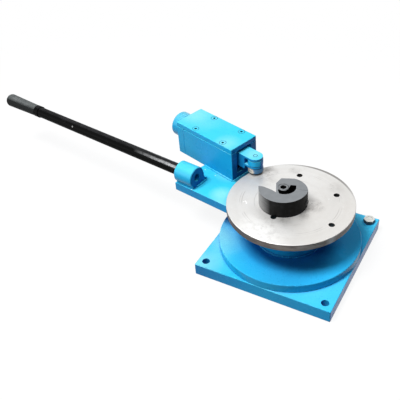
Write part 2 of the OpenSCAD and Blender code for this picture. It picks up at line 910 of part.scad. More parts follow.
module grip_ferrule() {
    color(black) on_lever() translate([0, 0, socket_len + lever_len - grip_len - ferrule_len])
        ring(lever_d / 2 + ferrule_wall, lever_d / 2, ferrule_len, fine_edge);
}

module lever_grip() {
    color(grip_grey) on_lever() translate([0, 0, socket_len + lever_len - grip_len]) difference() {
        rotate_extrude() intersection() {
            union() {
                polygon([
                    [0, 0],
                    [grip_neck_d / 2, 0],
                    [grip_d / 2, grip_len - grip_round],
                    [0, grip_len - grip_round]
                ]);
                translate([grip_d / 2 - grip_round, grip_len - grip_round]) circle(r = grip_round);
                square([grip_d / 2 - grip_round, grip_len]);
            }
            square([grip_d, grip_len]);
        }
        translate([0, 0, -over]) cylinder(d = lever_d, h = grip_len - grip_over + over);
    }
}

base_plate();
riser_plate();
pedestal();
spindle();
mounting_bolt();
thrust_washer();
thrust_ring();
faceplate();
faceplate_screws();
faceplate_dowels();
scroll_die();
die_screw();
die_tie_screw();
arm_plate();
arm_bush();
box_near_wall();
box_far_wall();
box_floor();
wear_strip();
box_lid();
lid_screws();
rear_plate();
rear_plate_screws();
screw_collar();
lever_socket();
lever_rod();
grip_ferrule();
lever_grip();
feed_knob();
feed_screw();
spring_seat();
ram();
ram_end_cap();
ram_cap_screws();
pressure_spring();
roller_pin();
upper_roller();
roller_spacer();
lower_roller();
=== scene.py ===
"""Looks of the scroll bender: enamel, bare steel, welds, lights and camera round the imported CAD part."""

import json
import math
import random

import bpy
from mathutils import Matrix, Vector


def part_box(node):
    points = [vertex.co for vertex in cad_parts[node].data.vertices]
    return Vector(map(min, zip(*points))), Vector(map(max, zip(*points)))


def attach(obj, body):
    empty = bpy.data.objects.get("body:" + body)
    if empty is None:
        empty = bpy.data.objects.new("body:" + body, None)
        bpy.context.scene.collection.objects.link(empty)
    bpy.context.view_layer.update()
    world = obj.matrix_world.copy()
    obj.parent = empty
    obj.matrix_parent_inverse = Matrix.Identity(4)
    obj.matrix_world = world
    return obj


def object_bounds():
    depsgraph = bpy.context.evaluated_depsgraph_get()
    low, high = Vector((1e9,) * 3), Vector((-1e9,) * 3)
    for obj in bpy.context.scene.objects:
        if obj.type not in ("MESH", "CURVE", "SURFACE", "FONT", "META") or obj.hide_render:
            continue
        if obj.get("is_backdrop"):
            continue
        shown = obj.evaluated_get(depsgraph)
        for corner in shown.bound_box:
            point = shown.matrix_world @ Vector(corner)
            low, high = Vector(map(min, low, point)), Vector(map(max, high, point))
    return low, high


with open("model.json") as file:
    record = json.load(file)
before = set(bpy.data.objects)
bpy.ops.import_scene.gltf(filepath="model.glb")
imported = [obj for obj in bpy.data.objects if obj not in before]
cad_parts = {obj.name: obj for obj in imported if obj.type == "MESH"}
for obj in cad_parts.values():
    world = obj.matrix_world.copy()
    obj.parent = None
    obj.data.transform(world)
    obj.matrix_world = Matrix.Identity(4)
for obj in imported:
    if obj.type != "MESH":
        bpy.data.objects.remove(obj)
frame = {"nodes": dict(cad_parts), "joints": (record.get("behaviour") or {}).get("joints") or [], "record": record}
NODES = frame["nodes"]
MM = 0.001


def write_sizes(key, store):
    low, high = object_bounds()
    store[key] = [list(low), list(high)]


sizes = {}
write_sizes("cad", sizes)

# Colours, linear
# Enamel lit for upward faces, with painted lit mottling and painted sheen
ENAMEL_LIT_TOP = (0.045, 0.600, 0.800)
ENAMEL_LIT_MOTTLE = (0.150, 0.660, 0.820)
ENAMEL_SHEEN = (0.260, 0.740, 0.860)
# Enamel shaded for upright faces, then a painted blue shade and the painted shade under the disc
ENAMEL_SHADED_SIDE = (0.012, 0.370, 0.690)
ENAMEL_BLUE_SHADE = (0.030, 0.560, 1.000)
ENAMEL_SHADE = (0.010, 0.150, 0.560)
# Painted violet reflection, deep blue for painted shade and for chips, and painted edge highlights
ENAMEL_VIOLET_REFLECTION = (0.150, 0.180, 0.780)
ENAMEL_DEEP = (0.004, 0.046, 0.300)
ENAMEL_EDGE_HIGHLIGHT = (0.180, 0.720, 0.900)
FACE_STEEL = (0.71, 0.70, 0.68)
FACE_STAIN = (0.52, 0.49, 0.45)
# Bright scratches on the disc, and a painted highlight on its edges
FACE_BRIGHT = (0.86, 0.86, 0.84)
# Darker patches and scribed rings on the disc
FACE_DARK = (0.090, 0.070, 0.055)
RIM_BROWN = (0.034, 0.028, 0.030)
RIM_TAN = (0.300, 0.255, 0.220)
RIM_DARK = (0.050, 0.042, 0.042)
# Pale metal patches on the rim, and a painted highlight on it
RIM_BARE_AND_HIGHLIGHT = (0.55, 0.53, 0.50)
LIP_BROWN = (0.190, 0.180, 0.170)
# Painted shade in holes and creases
HOLE_SHADE = (0.010, 0.010, 0.011)
THREAD = (0.130, 0.120, 0.105)
DIE_TOP = (0.215, 0.225, 0.233)
DIE_SIDE = (0.004, 0.004, 0.004)
# Painted light on the die's sides at the open end, and painted highlights on its ground edges
DIE_LIT_SIDE = (0.400, 0.400, 0.395)
DIE_EDGE = (0.330, 0.340, 0.350)
ZINC = (0.62, 0.62, 0.58)
ZINC_SHADE = (0.40, 0.41, 0.38)
MACHINED = (0.42, 0.42, 0.41)
BRONZE = (0.45, 0.29, 0.12)
LEVER_BLACK = (0.0035, 0.0035, 0.0035)
GRIP_GREY = (0.095, 0.102, 0.100)
GRIP_DUST = (0.150, 0.157, 0.155)
# Painted shade under the grip
GRIP_UNDER_SHADE = (0.006, 0.007, 0.007)
ENAMEL_GLOSS = (0.45, 0.80, 1.0)
GLINT = (0.72, 0.93, 0.98)
SEAT_LINE = (0.002, 0.028, 0.075)
# Painted shade along joints and deep in sockets, and a painted shadow on the arm's plate
JOINT_SHADE = (0.002, 0.030, 0.100)
SOCKET_SHADE = (0.001, 0.004, 0.010)
PLATE_SHADOW = (0.002, 0.012, 0.070)
FACE_GLARE = (1.0, 0.995, 0.975)
FACE_NICK = (0.95, 0.95, 0.94)
# Bright metal edges, partly wear and partly a painted highlight
METAL_EDGE_WEAR_AND_HIGHLIGHT = (0.80, 0.80, 0.77)
ROLLER_WORN = (0.56, 0.51, 0.44)
ROLLER_STAIN = (0.30, 0.27, 0.23)
# A blue side on the lower roller, and a painted shadow at its foot
ROLLER_BLUE_SIDE = (0.012, 0.150, 0.330)
ROLLER_FOOT_SHADOW = (0.003, 0.003, 0.004)
DIE_SCALE = (0.014, 0.014, 0.015)
DIE_TOP_PALE = (0.245, 0.255, 0.262)
# Painted shade in the die's slot
DIE_SLOT_SHADE = (0.002, 0.002, 0.002)
SCREW_TOP = (0.215, 0.225, 0.232)
SCREW_SHADE = (0.16, 0.165, 0.17)
# Painted shade in the die screw's socket
SCREW_SOCKET_SHADE = (0.003, 0.003, 0.003)
# Painted sheen on the lever's top, its handling marks, and a painted reflection streak
LEVER_TOP_SHEEN = (0.024, 0.024, 0.025)
LEVER_MARK = (0.022, 0.022, 0.024)
LEVER_REFLECTION = (0.55, 0.55, 0.55)
LEVER_CHIP = (0.45, 0.45, 0.44)
FLOOR_GREY = (0.22, 0.23, 0.24)
STUDIO_BLUE = (0.30, 0.58, 1.0)
WHITE = (1.0, 1.0, 1.0)

# Size of the rounding that the light catches along sawn and machined edges
EDGE_ROUND = 0.7 * MM

# Place of the lever's pale nick along X
LEVER_NICK = -0.503

# Radii of the lid screws' heads, and of the dark lines round them and on the roller pin's end
LID_SCREW_R = 5.9 * MM
LID_SEAT_R = 6.1 * MM
PIN_SEAT_R = 3.5 * MM

# Half the width of those lines
SEAT_LINE_HALF = 0.62 * MM

# Reach of the painted shade in the die's inner slot round its screw
DIE_SLOT_R = 22 * MM


# Turns of the arm and of the lever, and boxes in them

ARM_TURN = next(math.atan2(j["axis"][1], j["axis"][0]) for j in frame["joints"] if j["name"] == "feed_slide")
LEVER_YAW = math.radians(8.9)
LEVER_TURN = ARM_TURN + LEVER_YAW


def turned_box(node, turn):
    """A turn about Z, and the lowest and highest corner of a CAD node in the frame that it gives."""
    matrix = Matrix.Rotation(turn, 4, "Z")
    back = matrix.inverted()
    corners = [back @ v.co for v in NODES[node].data.vertices]
    low = Vector(min(v[i] for v in corners) for i in range(3))
    high = Vector(max(v[i] for v in corners) for i in range(3))
    return matrix, low, high


def screw_places(node, turn, head_radius):
    """Places of four upright screws that stand in a rectangle."""
    matrix, low, high = turned_box(node, turn)
    return [(matrix @ Vector((x, y, 0.0))).xy for x in (low.x + head_radius, high.x - head_radius)
            for y in (low.y + head_radius, high.y - head_radius)]


def centre_of(node):
    low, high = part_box(node)
    return (low + high) / 2


UP = Vector((0, 0, 1))
ALONG_ARM = Vector((math.cos(ARM_TURN), math.sin(ARM_TURN), 0))
ACROSS_ARM = Vector((-math.sin(ARM_TURN), math.cos(ARM_TURN), 0))

# Front edge and near side of the box, in the arm's turned frame
NEAR_WALL = turned_box("box_near_wall", ARM_TURN)
BOX_FRONT = Vector((NEAR_WALL[2].x, NEAR_WALL[1].y))

# Heights that tell the base plate, the riser and the arm's plate apart
BASE_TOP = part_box("base_plate")[1].z
RISER_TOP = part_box("riser_plate")[1].z
ARM_BOTTOM, ARM_TOP = (level.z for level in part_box("arm_plate"))


# Node building

class Nodes:
    """A short way to write a material's nodes."""

    def __init__(self, name):
        self.material = bpy.data.materials.new(name)
        self.material.use_nodes = True
        self.tree = self.material.node_tree
        self.tree.nodes.clear()
        self.out = self.add("ShaderNodeOutputMaterial")

    def add(self, kind, **settings):
        node = self.tree.nodes.new(kind)
        for key, value in settings.items():
            setattr(node, key, value)
        return node

    def join(self, source, target):
        self.tree.links.new(source, target)

    def feed(self, value, socket):
        if isinstance(value, bpy.types.NodeSocket):
            self.join(value, socket)
        elif isinstance(value, (tuple, list)) and len(value) == 3 and socket.type == "RGBA":
            socket.default_value = (*value, 1.0)
        else:
            socket.default_value = value

    def place(self):
        """Position in the part's frame at rest, in metres."""
        return self.add("ShaderNodeTexCoord").outputs["Object"]

    def facing(self):
        """Direction of the surface in the piece's own frame."""
        return self.parts(self.add("ShaderNodeTexCoord").outputs["Normal"])

    def math(self, operation, a, b=0.0, clamp=False):
        node = self.add("ShaderNodeMath", operation=operation, use_clamp=clamp)
        self.feed(a, node.inputs[0])
        self.feed(b, node.inputs[1])
        return node.outputs[0]

    def parts(self, vector):
        node = self.add("ShaderNodeSeparateXYZ")
        self.join(vector, node.inputs[0])
        return node.outputs

    def joined(self, x, y, z):
        node = self.add("ShaderNodeCombineXYZ")
        for value, socket in zip((x, y, z), node.inputs):
            self.feed(value, socket)
        return node.outputs[0]

    def stretched(self, vector, x, y, z):
        a, b, c = self.parts(vector)
        return self.joined(self.times(a, x), self.times(b, y), self.times(c, z))

    def along(self, vector, axis):
        """Place along an axis."""
        node = self.add("ShaderNodeVectorMath", operation="DOT_PRODUCT")
        self.join(vector, node.inputs[0])
        node.inputs[1].default_value = axis
        return node.outputs["Value"]

    def line(self, value, centre, half):
        """1 where a value lies within a half width of a centre, with soft ends."""
        off = self.math("ABSOLUTE", self.math("SUBTRACT", value, centre))
        return self.span(off, 1.3 * half, 0.6 * half)

    def apart(self, x, y, centre):
        """Distance of x and y from a centre."""
        dx = self.math("SUBTRACT", x, centre[0])
        dy = self.math("SUBTRACT", y, centre[1])
        return self.math("SQRT", self.math("ADD", self.times(dx, dx), self.times(dy, dy)))

    def noise(self, vector, scale, detail=3.0, rough=0.5):
        node = self.add("ShaderNodeTexNoise")
        self.join(vector, node.inputs["Vector"])
        node.inputs["Scale"].default_value = scale
        node.inputs["Detail"].default_value = detail
        node.inputs["Roughness"].default_value = rough
        return node.outputs["Fac"]

    def spots(self, vector, scale):
        node = self.add("ShaderNodeTexVoronoi")
        self.join(vector, node.inputs["Vector"])
        node.inputs["Scale"].default_value = scale
        return node.outputs["Distance"]

    def span(self, value, low, high, to_low=0.0, to_high=1.0):
        """Value between low and high, spread over another span and held at its ends."""
        node = self.add("ShaderNodeMapRange", clamp=True)
        self.feed(value, node.inputs["Value"])
        for key, number in zip(("From Min", "From Max", "To Min", "To Max"), (low, high, to_low, to_high)):
            node.inputs[key].default_value = number
        return node.outputs["Result"]

    def times(self, *shares):
        result = shares[0]
        for share in shares[1:]:
            result = self.math("MULTIPLY", result, share)
        return result

    def blend(self, share, a, b):
        node = self.add("ShaderNodeMix", data_type="RGBA")
        self.feed(share, node.inputs["Factor"])
        self.feed(a, node.inputs["A"])
        self.feed(b, node.inputs["B"])
        return node.outputs["Result"]

    def rounded(self, radius=EDGE_ROUND):
        """Surface direction with its sharp edges rounded."""
        node = self.add("ShaderNodeBevel")
        node.samples = 6
        node.inputs["Radius"].default_value = radius
        return node.outputs["Normal"]

    def edges(self, radius=EDGE_ROUND):
        """1 on an edge, 0 on a flat."""
        flat = self.add("ShaderNodeNewGeometry").outputs["Normal"]
        dot = self.add("ShaderNodeVectorMath", operation="DOT_PRODUCT")
        self.join(self.rounded(radius), dot.inputs[0])
        self.join(flat, dot.inputs[1])
        return self.span(dot.outputs["Value"], 0.995, 0.80)

    def creases(self, reach, open_at=0.62, shut_at=0.12):
        """1 deep in a crease or a hole, 0 in the open."""
        node = self.add("ShaderNodeAmbientOcclusion", samples=6)
        node.inputs["Distance"].default_value = reach
        return self.span(node.outputs["AO"], open_at, shut_at)

    def bump(self, height, strength, distance, normal=None):
        node = self.add("ShaderNodeBump")
        self.join(height, node.inputs["Height"])
        node.inputs["Strength"].default_value = strength
        node.inputs["Distance"].default_value = distance
        if normal is not None:
            self.join(normal, node.inputs["Normal"])
        return node.outputs["Normal"]

    def surface(self, colour, roughness, normal=None, metallic=0.0, specular=0.5, tint=(1.0, 1.0, 1.0)):
        shader = self.add("ShaderNodeBsdfPrincipled")
        values = {"Base Color": colour, "Roughness": roughness, "Metallic": metallic,
                  "Specular IOR Level": specular, "Specular Tint": tint}
        for key, value in values.items():
            self.feed(value, shader.inputs[key])
        if normal is not None:
            self.join(normal, shader.inputs["Normal"])
        self.join(shader.outputs[0], self.out.inputs[0])
        return self.material


# Painted sheen on upward faces, palest at each place: a place in metres, a reach and a share
SHEEN_PLACES = (
    (-0.120, -0.117, 0.046, 0.75), (-0.089, -0.059, 0.040, 0.50), (-0.128, -0.012, 0.026, 0.80),
    (-0.146, 0.050, 0.030, 0.55), (-0.248, 0.112, 0.034, 0.55), (-0.098, 0.058, 0.026, 0.75),
    (-0.098, -0.092, 0.030, 0.30), (-0.110, -0.048, 0.034, 0.85),
)


# Small glints on the arm's plate: a place in metres and a radius
GLINTS = ((-0.185, -0.022, 0.0022), (-0.193, 0.043, 0.0018), (-0.178, 0.020, 0.0020), (-0.166, 0.034, 0.0016))


class Enamel(Nodes):
    """Nodes of the blue enamel, with the shares that tell its tones apart."""

    def __init__(self, name):
        super().__init__(name)
        self.at = self.place()
        self.x, self.y, self.z = self.parts(self.at)
        self.turned = self.facing()
        self.cloud = self.noise(self.at, 7.0, 2.0)
        self.up = self.span(self.turned[2], 0.2, 0.85)
        from_below = self.span(self.z, ARM_BOTTOM - 2.5 * MM, ARM_BOTTOM - 0.5 * MM)
        self.arm_level = self.times(from_below, self.span(self.z, ARM_TOP + 1.5 * MM, ARM_TOP - 0.5 * MM))
        self.on_base = self.span(self.z, RISER_TOP + 4 * MM, RISER_TOP + 2 * MM)
        self.on_plate = self.span(self.z, BASE_TOP + 1 * MM, BASE_TOP)
        above_plate = self.span(self.z, BASE_TOP + 1 * MM, BASE_TOP + 3 * MM)
        self.on_riser = self.times(self.on_base, above_plate)
        self.rightwards = self.span(self.x, -70 * MM, 60 * MM)
        off_base = self.math("SUBTRACT", 1.0, self.on_base)
        # Faces turned right, off the base, carry painted shade and fainter painted edge highlights
        self.right = self.times(self.span(self.turned[0], 0.85, 0.97), off_base)

    # Deep blue blend: painted shade, and chips in the enamel
    def deepen(self, share, colour):
        return self.blend(share, colour, ENAMEL_DEEP)

    def side_tone(self, side_shade):
        """Upright faces: shaded enamel, with painted shade on the base, the arm's plate, faces turned right and
        the riser's right, and a painted violet reflection.
        """
        low = self.math("MAXIMUM", self.span(self.z, BASE_TOP + 2 * MM, BASE_TOP), self.arm_level)
        # Painted violet reflection on the base plate's faces turned right
        violet = self.times(self.span(self.turned[0], 0.60, 0.95), self.on_plate)
        leftwards = self.times(self.span(self.x, -30 * MM, -110 * MM), self.on_plate)
        frontwards = self.span(self.turned[1], -0.5, -0.9)
        side = self.blend(self.span(self.cloud, 0.40, 0.70, 0.0, 0.35), ENAMEL_SHADED_SIDE, ENAMEL_LIT_TOP)
        side = self.deepen(self.times(low, 0.22), side)
        side = self.deepen(self.times(self.arm_level, 0.18), side)
        side = self.deepen(self.times(self.right, 0.78), side)
        side = self.blend(self.times(violet, 0.45), side, ENAMEL_VIOLET_REFLECTION)
        side = self.deepen(side_shade, side)
        # Painted shadow of the disc on the riser's right, and painted shade on the base's front left faces
        side = self.deepen(self.times(self.on_riser, self.rightwards, 0.28), side)
        return self.deepen(self.times(leftwards, frontwards, 0.42), side)

    def top_tone(self):
        """Upward faces: lit enamel with painted sheen in places, painted blue shade on the riser and the base's
        far right, and the disc's painted shadow on the riser's right.
        """
        middle = self.span(self.x, -100 * MM, -30 * MM, 0.0, 0.90)
        left = self.span(self.x, -60 * MM, -110 * MM, 0.0, 0.45)
        far_right = self.span(self.x, 40 * MM, 110 * MM, 0.25, 0.60)
        top = self.blend(self.span(self.cloud, 0.42, 0.68), ENAMEL_LIT_TOP, ENAMEL_LIT_MOTTLE)
        # Painted blue shade on the riser's middle, painted sheen on its left, and the disc's painted shadow on its
        # right
        top = self.blend(self.times(self.on_riser, middle), top, ENAMEL_BLUE_SHADE)
        top = self.blend(self.times(self.on_riser, left), top, ENAMEL_SHEEN)
        top = self.deepen(self.times(self.on_riser, self.rightwards, 0.42), top)
        # Painted blue shade on the base's far right
        top = self.blend(self.times(self.on_base, far_right), top, ENAMEL_BLUE_SHADE)
        # Painted sheen at the listed places
        for px, py, reach, share in SHEEN_PLACES:
            near = self.span(self.apart(self.x, self.y, (px, py)), reach, 0.25 * reach)
            top = self.blend(self.times(near, share), top, ENAMEL_SHEEN)
        return top

    def wear_and_light(self, colour, crease_reach, bead):
        """Mottling and chips, painted highlights on edges, painted shade under the disc and painted shade in
        creases.
        """
        mottle = self.noise(self.at, 60.0, 4.0, 0.6)
        colour = self.blend(self.span(mottle, 0.52, 0.80, 0.0, 0.18), colour, ENAMEL_SHADED_SIDE)
        # Painted highlights on edges, fainter on faces turned right
        bright = self.times(self.edges(), self.math("SUBTRACT", 1.0, self.times(self.right, 0.85)))
        colour = self.blend(self.times(bright, 0.10 if bead else 0.40), colour, ENAMEL_EDGE_HIGHLIGHT)
        chip = self.span(self.spots(self.at, 190.0), 0.15, 0.08)
        colour = self.deepen(self.times(chip, self.span(self.cloud, 0.54, 0.60), 0.55), colour)
        under_arm = self.span(self.z, ARM_BOTTOM - 4.5 * MM, ARM_BOTTOM - 20.5 * MM, 0.10, 0.97)
        shade = self.times(self.creases(90 * MM, 0.64, 0.26), self.up, under_arm)
        colour = self.blend(shade, colour, ENAMEL_SHADE)
        # Painted shade in creases
        return self.deepen(self.times(self.creases(crease_reach), 0.40 if bead else 0.90), colour)

    def arm_marks(self, colour):
        """Glints on the arm's plate, and a painted shadow on it in front of its box."""
        top = self.times(self.arm_level, self.up)
        for px, py, radius in GLINTS:
            spot = self.span(self.apart(self.x, self.y, (px, py)), radius, 0.5 * radius)
            colour = self.blend(self.times(spot, top, 0.85), colour, GLINT)
        # Painted shadow on the plate in front of the box
        ahead = self.span(self.along(self.at, ALONG_ARM), BOX_FRONT.x, BOX_FRONT.x + 1 * MM)
        beside = self.span(self.along(self.at, ACROSS_ARM), BOX_FRONT.y, BOX_FRONT.y + 4 * MM)
        return self.blend(self.times(ahead, beside, top, 0.90), colour, PLATE_SHADOW)

    def joint_marks(self, colour, rings, bands, socket_top):
        """Dark lines round screw seats, painted shade along joints, and painted shade deep in sockets."""
        for centre, radius in rings:
            ring = self.line(self.apart(self.x, self.y, centre), radius, SEAT_LINE_HALF)
            colour = self.blend(self.times(ring, self.up, 0.92), colour, SEAT_LINE)
        for axis, at, half in bands:
            band = self.line(self.along(self.at, axis), at, half)
            colour = self.blend(self.times(band, 0.85), colour, JOINT_SHADE)
        if socket_top is not None:
            deep = self.span(self.z, socket_top - 0.25 * MM, socket_top - 0.80 * MM)
            colour = self.blend(deep, colour, SOCKET_SHADE)
        return colour


def enamel(name="enamel", rings=(), bands=(), socket_top=None, crease_reach=5.0 * MM,
           side_shade=0.0, dark=0.0, bead=False):
    """Blue enamel with painted light: lit cyan on upward faces, painted deep blue shade on upright ones and in
    creases.

    Rings are screw seats, as a place and a radius. Bands are painted shade along joints, as an axis, a place
    along it and a half width. Side shade is painted shade on upright faces. A bead has faint painted edge
    highlights and soft painted shade in its creases.
    """
    n = Enamel(name)
    # Painted light and shade: lit enamel on upward faces, shaded enamel on upright ones
    colour = n.blend(n.up, n.side_tone(side_shade), n.top_tone())
    colour = n.arm_marks(n.wear_and_light(colour, crease_reach, bead))
    colour = n.joint_marks(n.deepen(dark, colour), rings, bands, socket_top)
    normal = n.bump(n.noise(n.at, 55.0, 2.0), 0.08, 1.0 * MM, n.rounded())
    normal = n.bump(n.noise(n.at, 420.0, 2.0), 0.06, 0.25 * MM, normal)
    rough = n.span(n.noise(n.at, 30.0, 3.0), 0.3, 0.7, 0.22, 0.36)
    return n.surface(colour, rough, normal, specular=0.18, tint=ENAMEL_GLOSS)


# Darker patches on the disc: a place in metres, a reach and a share
DARK_PATCHES = (
    (0.038, 0.004, 0.024, 0.62), (0.030, -0.022, 0.022, 0.50), (0.011, -0.046, 0.018, 0.50),
    (0.056, 0.067, 0.018, 0.28), (-0.027, 0.084, 0.014, 0.32), (-0.074, 0.062, 0.026, 0.50),
    (-0.060, 0.040, 0.020, 0.22), (-0.004, -0.040, 0.014, 0.25),
)


# White scuffs on the disc: a place and a reach in metres
SCUFFS = ((-0.069, -0.031, 0.0026), (-0.066, -0.035, 0.0018), (-0.072, -0.034, 0.0012))


# Painted glare on the front of the disc and a painted highlight on its rim: a place, a reach and a full radius
GLARE_PLACE = (-10 * MM, -92 * MM, 56 * MM, 10 * MM)
RIM_HIGHLIGHT_PLACE = (93 * MM, -54 * MM, 11 * MM, 3 * MM)


# Faint scribed rings on the disc: a share of its radius and a strength
SCRIBED_RINGS = ((0.755, 0.32), (0.79, 0.20), (0.56, 0.22))

# Pitch of the thread in the disc's holes
THREAD_PITCH = 1.5 * MM


class DiscSteel(Nodes):
    """Nodes of the turned disc's steel, with the noises that its marks share."""

    def __init__(self, name):
        super().__init__(name)
        low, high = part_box("faceplate")
        self.top = high.z
        self.rim_r = (high.x - low.x) / 2
        self.at = self.place()
        self.x, self.y, self.z = self.parts(self.at)
        self.radius = self.apart(self.x, self.y, (0.0, 0.0))
        self.rings = self.noise(self.joined(self.radius, 0.0, 0.0), 900.0, 3.0, 0.7)
        self.smudge = self.noise(self.at, 20.0, 4.0, 0.6)
        self.fine = self.noise(self.at, 95.0, 4.0, 0.7)
        self.rim = self.span(self.radius, self.rim_r - 1.6 * MM, self.rim_r - 1.2 * MM)

    def near(self, px, py, reach, full):
        """1 within a full radius of a place, 0 beyond a reach."""
        return self.span(self.apart(self.x, self.y, (px, py)), reach, full)

    def face(self):
        """Bare steel with fine and broad rings, a few scribed ones, scratches and a glare in front."""
        broad = self.noise(self.joined(self.radius, 0.0, 0.0), 60.0, 2.0)
        stains = ((self.smudge, 0.48, 0.78, 0.40), (broad, 0.45, 0.70, 0.15),
                  (self.x, 10 * MM, 70 * MM, 0.30), (self.rings, 0.55, 0.80, 0.12),
                  (self.fine, 0.55, 0.80, 0.20))
        colour = FACE_STEEL
        for value, low, high, strength in stains:
            colour = self.blend(self.span(value, low, high, 0.0, strength), colour, FACE_STAIN)
        scratches = self.noise(self.stretched(self.at, 6.0, 0.5, 1.0), 240.0, 2.0)
        colour = self.blend(self.span(scratches, 0.64, 0.74, 0.0, 0.25), colour, FACE_BRIGHT)
        broken = self.span(self.noise(self.at, 26.0, 2.0), 0.44, 0.60)
        for place_share, strength in SCRIBED_RINGS:
            ring = self.line(self.radius, place_share * self.rim_r, 0.5 * MM)
            colour = self.blend(self.times(ring, broken, strength), colour, FACE_DARK)
        glare = self.near(*GLARE_PLACE)
        return self.blend(self.times(glare, self.span(self.fine, 0.75, 0.45), 0.68), colour, FACE_GLARE)

    def patches_and_scuffs(self, colour):
        """Darker patches by the die and the roller, pale nicks and white scuffs."""
        haze = self.span(self.noise(self.at, 52.0, 4.0, 0.65), 0.34, 0.66)
        specks = self.span(self.spots(self.at, 230.0), 0.26, 0.12)
        specks = self.times(specks, self.span(self.fine, 0.46, 0.54))
        for px, py, reach, share in DARK_PATCHES:
            near = self.near(px, py, reach, 0.20 * reach)
            colour = self.blend(self.times(near, haze, share), colour, FACE_DARK)
            colour = self.blend(self.times(near, specks, min(1.0, 1.6 * share)), colour, RIM_DARK)
        nicks = self.span(self.spots(self.stretched(self.at, 1.0, 1.0, 0.0), 34.0), 0.045, 0.025)
        colour = self.blend(self.times(nicks, 0.8), colour, FACE_NICK)
        for px, py, reach in SCUFFS:
            scuff = self.times(self.near(px, py, reach, 0.6 * reach), self.span(self.fine, 0.40, 0.50))
            colour = self.blend(scuff, colour, WHITE)
        return colour

    def lip(self, colour):
        """A brown lip along the disc's far edge."""
        behind = self.math("ADD", self.times(self.y, 0.96), self.times(self.x, 0.28))
        behind = self.span(behind, 70 * MM, 104 * MM)
        out = self.math("ADD", self.radius, self.span(behind, 0.0, 1.0, 0.8 * MM, 5.2 * MM))
        lip = self.span(out, self.rim_r - 0.9 * MM, self.rim_r - 0.1 * MM)
        lip = self.times(lip, self.span(self.radius, self.rim_r - 0.9 * MM, self.rim_r - 1.5 * MM))
        return self.blend(self.times(lip, behind, 0.85), colour, LIP_BROWN)

    def rim_tone(self):
        """Rim: brown on the left, tan on the right, with pale metal patches there and a painted highlight."""
        stain = self.noise(self.stretched(self.at, 1.0, 1.0, 4.0), 50.0, 3.0)
        right = self.span(self.x, -60 * MM, 60 * MM)
        colour = self.blend(right, RIM_BROWN, RIM_TAN)
        colour = self.blend(self.span(stain, 0.42, 0.75, 0.0, 0.8), colour, RIM_DARK)
        patch = self.noise(self.stretched(self.at, 1.0, 1.0, 0.0), 22.0, 1.0)
        patch = self.times(self.span(patch, 0.56, 0.66, 0.0, 0.30), right)
        highlight_spot = self.times(self.near(*RIM_HIGHLIGHT_PLACE), 0.9)
        return self.blend(self.math("MAXIMUM", patch, highlight_spot), colour, RIM_BARE_AND_HIGHLIGHT)


def faceplate_steel():
    """Bright turned disc: fine rings, darker patches by the die, a brown lip and rim, painted edge highlights, and
    threaded holes in painted shade.
    """
    n = DiscSteel("faceplate_steel")
    off_rim = n.math("SUBTRACT", 1.0, n.rim)
    hole = n.times(n.span(n.z, n.top - 0.25 * MM, n.top - 0.60 * MM), off_rim)
    edge = n.times(n.span(n.z, n.top - 0.80 * MM, n.top - 1.05 * MM), n.rim)
    colour = n.blend(edge, n.lip(n.patches_and_scuffs(n.face())), n.rim_tone())
    plain = n.math("SUBTRACT", 1.0, n.math("MAXIMUM", hole, edge))
    # Painted highlight on the disc's rounded edges, kept off the holes and the rim
    colour = n.blend(n.times(n.edges(0.8 * MM), plain, 0.35), colour, FACE_BRIGHT)
    # Painted shade in the holes, over their threads
    turns = n.math("SINE", n.times(n.z, 2 * math.pi / THREAD_PITCH))
    colour = n.blend(hole, colour, n.blend(n.span(turns, 0.2, 0.9, 0.0, 0.7), HOLE_SHADE, THREAD))
    metal = n.math("SUBTRACT", 0.60, n.math("ADD", n.times(hole, 0.60), n.times(edge, 0.55)), clamp=True)
    rough = n.span(n.smudge, 0.3, 0.7, 0.38, 0.52)
    normal = n.bump(n.rings, 0.12, 0.10 * MM, n.rounded(0.4 * MM))
    return n.surface(colour, rough, normal, metallic=metal, specular=0.3)


def ground_steel(name, colour, shade, metallic=0.8, sides=None):
    """Small machined or plated pieces: a mottled metal with bright edges, partly a painted highlight, painted
    shade in creases, and upright sides in painted shade if asked.
    """
    n = Nodes(name)
    place = n.place()
    mottle = n.noise(place, 180.0, 3.0)
    base = n.blend(n.span(mottle, 0.35, 0.70), colour, shade)
    base = n.blend(n.times(n.edges(0.4 * MM), 0.5), base, METAL_EDGE_WEAR_AND_HIGHLIGHT)
    metal = metallic
    if sides:
        # Painted shade on upright sides, which then lose their metal
        flat = n.span(n.math("ABSOLUTE", n.facing()[2]), 0.4, 0.8)
        base = n.blend(flat, sides, base)
        metal = n.times(flat, metallic)
    # Painted shade in creases
    base = n.blend(n.times(n.creases(4 * MM), 0.85), base, HOLE_SHADE)
    normal = n.bump(n.noise(place, 720.0, 2.0), 0.08, 0.15 * MM, n.rounded(0.4 * MM))
    return n.surface(base, n.span(mottle, 0.3, 0.7, 0.28, 0.42), normal, metallic=metal, specular=0.3)


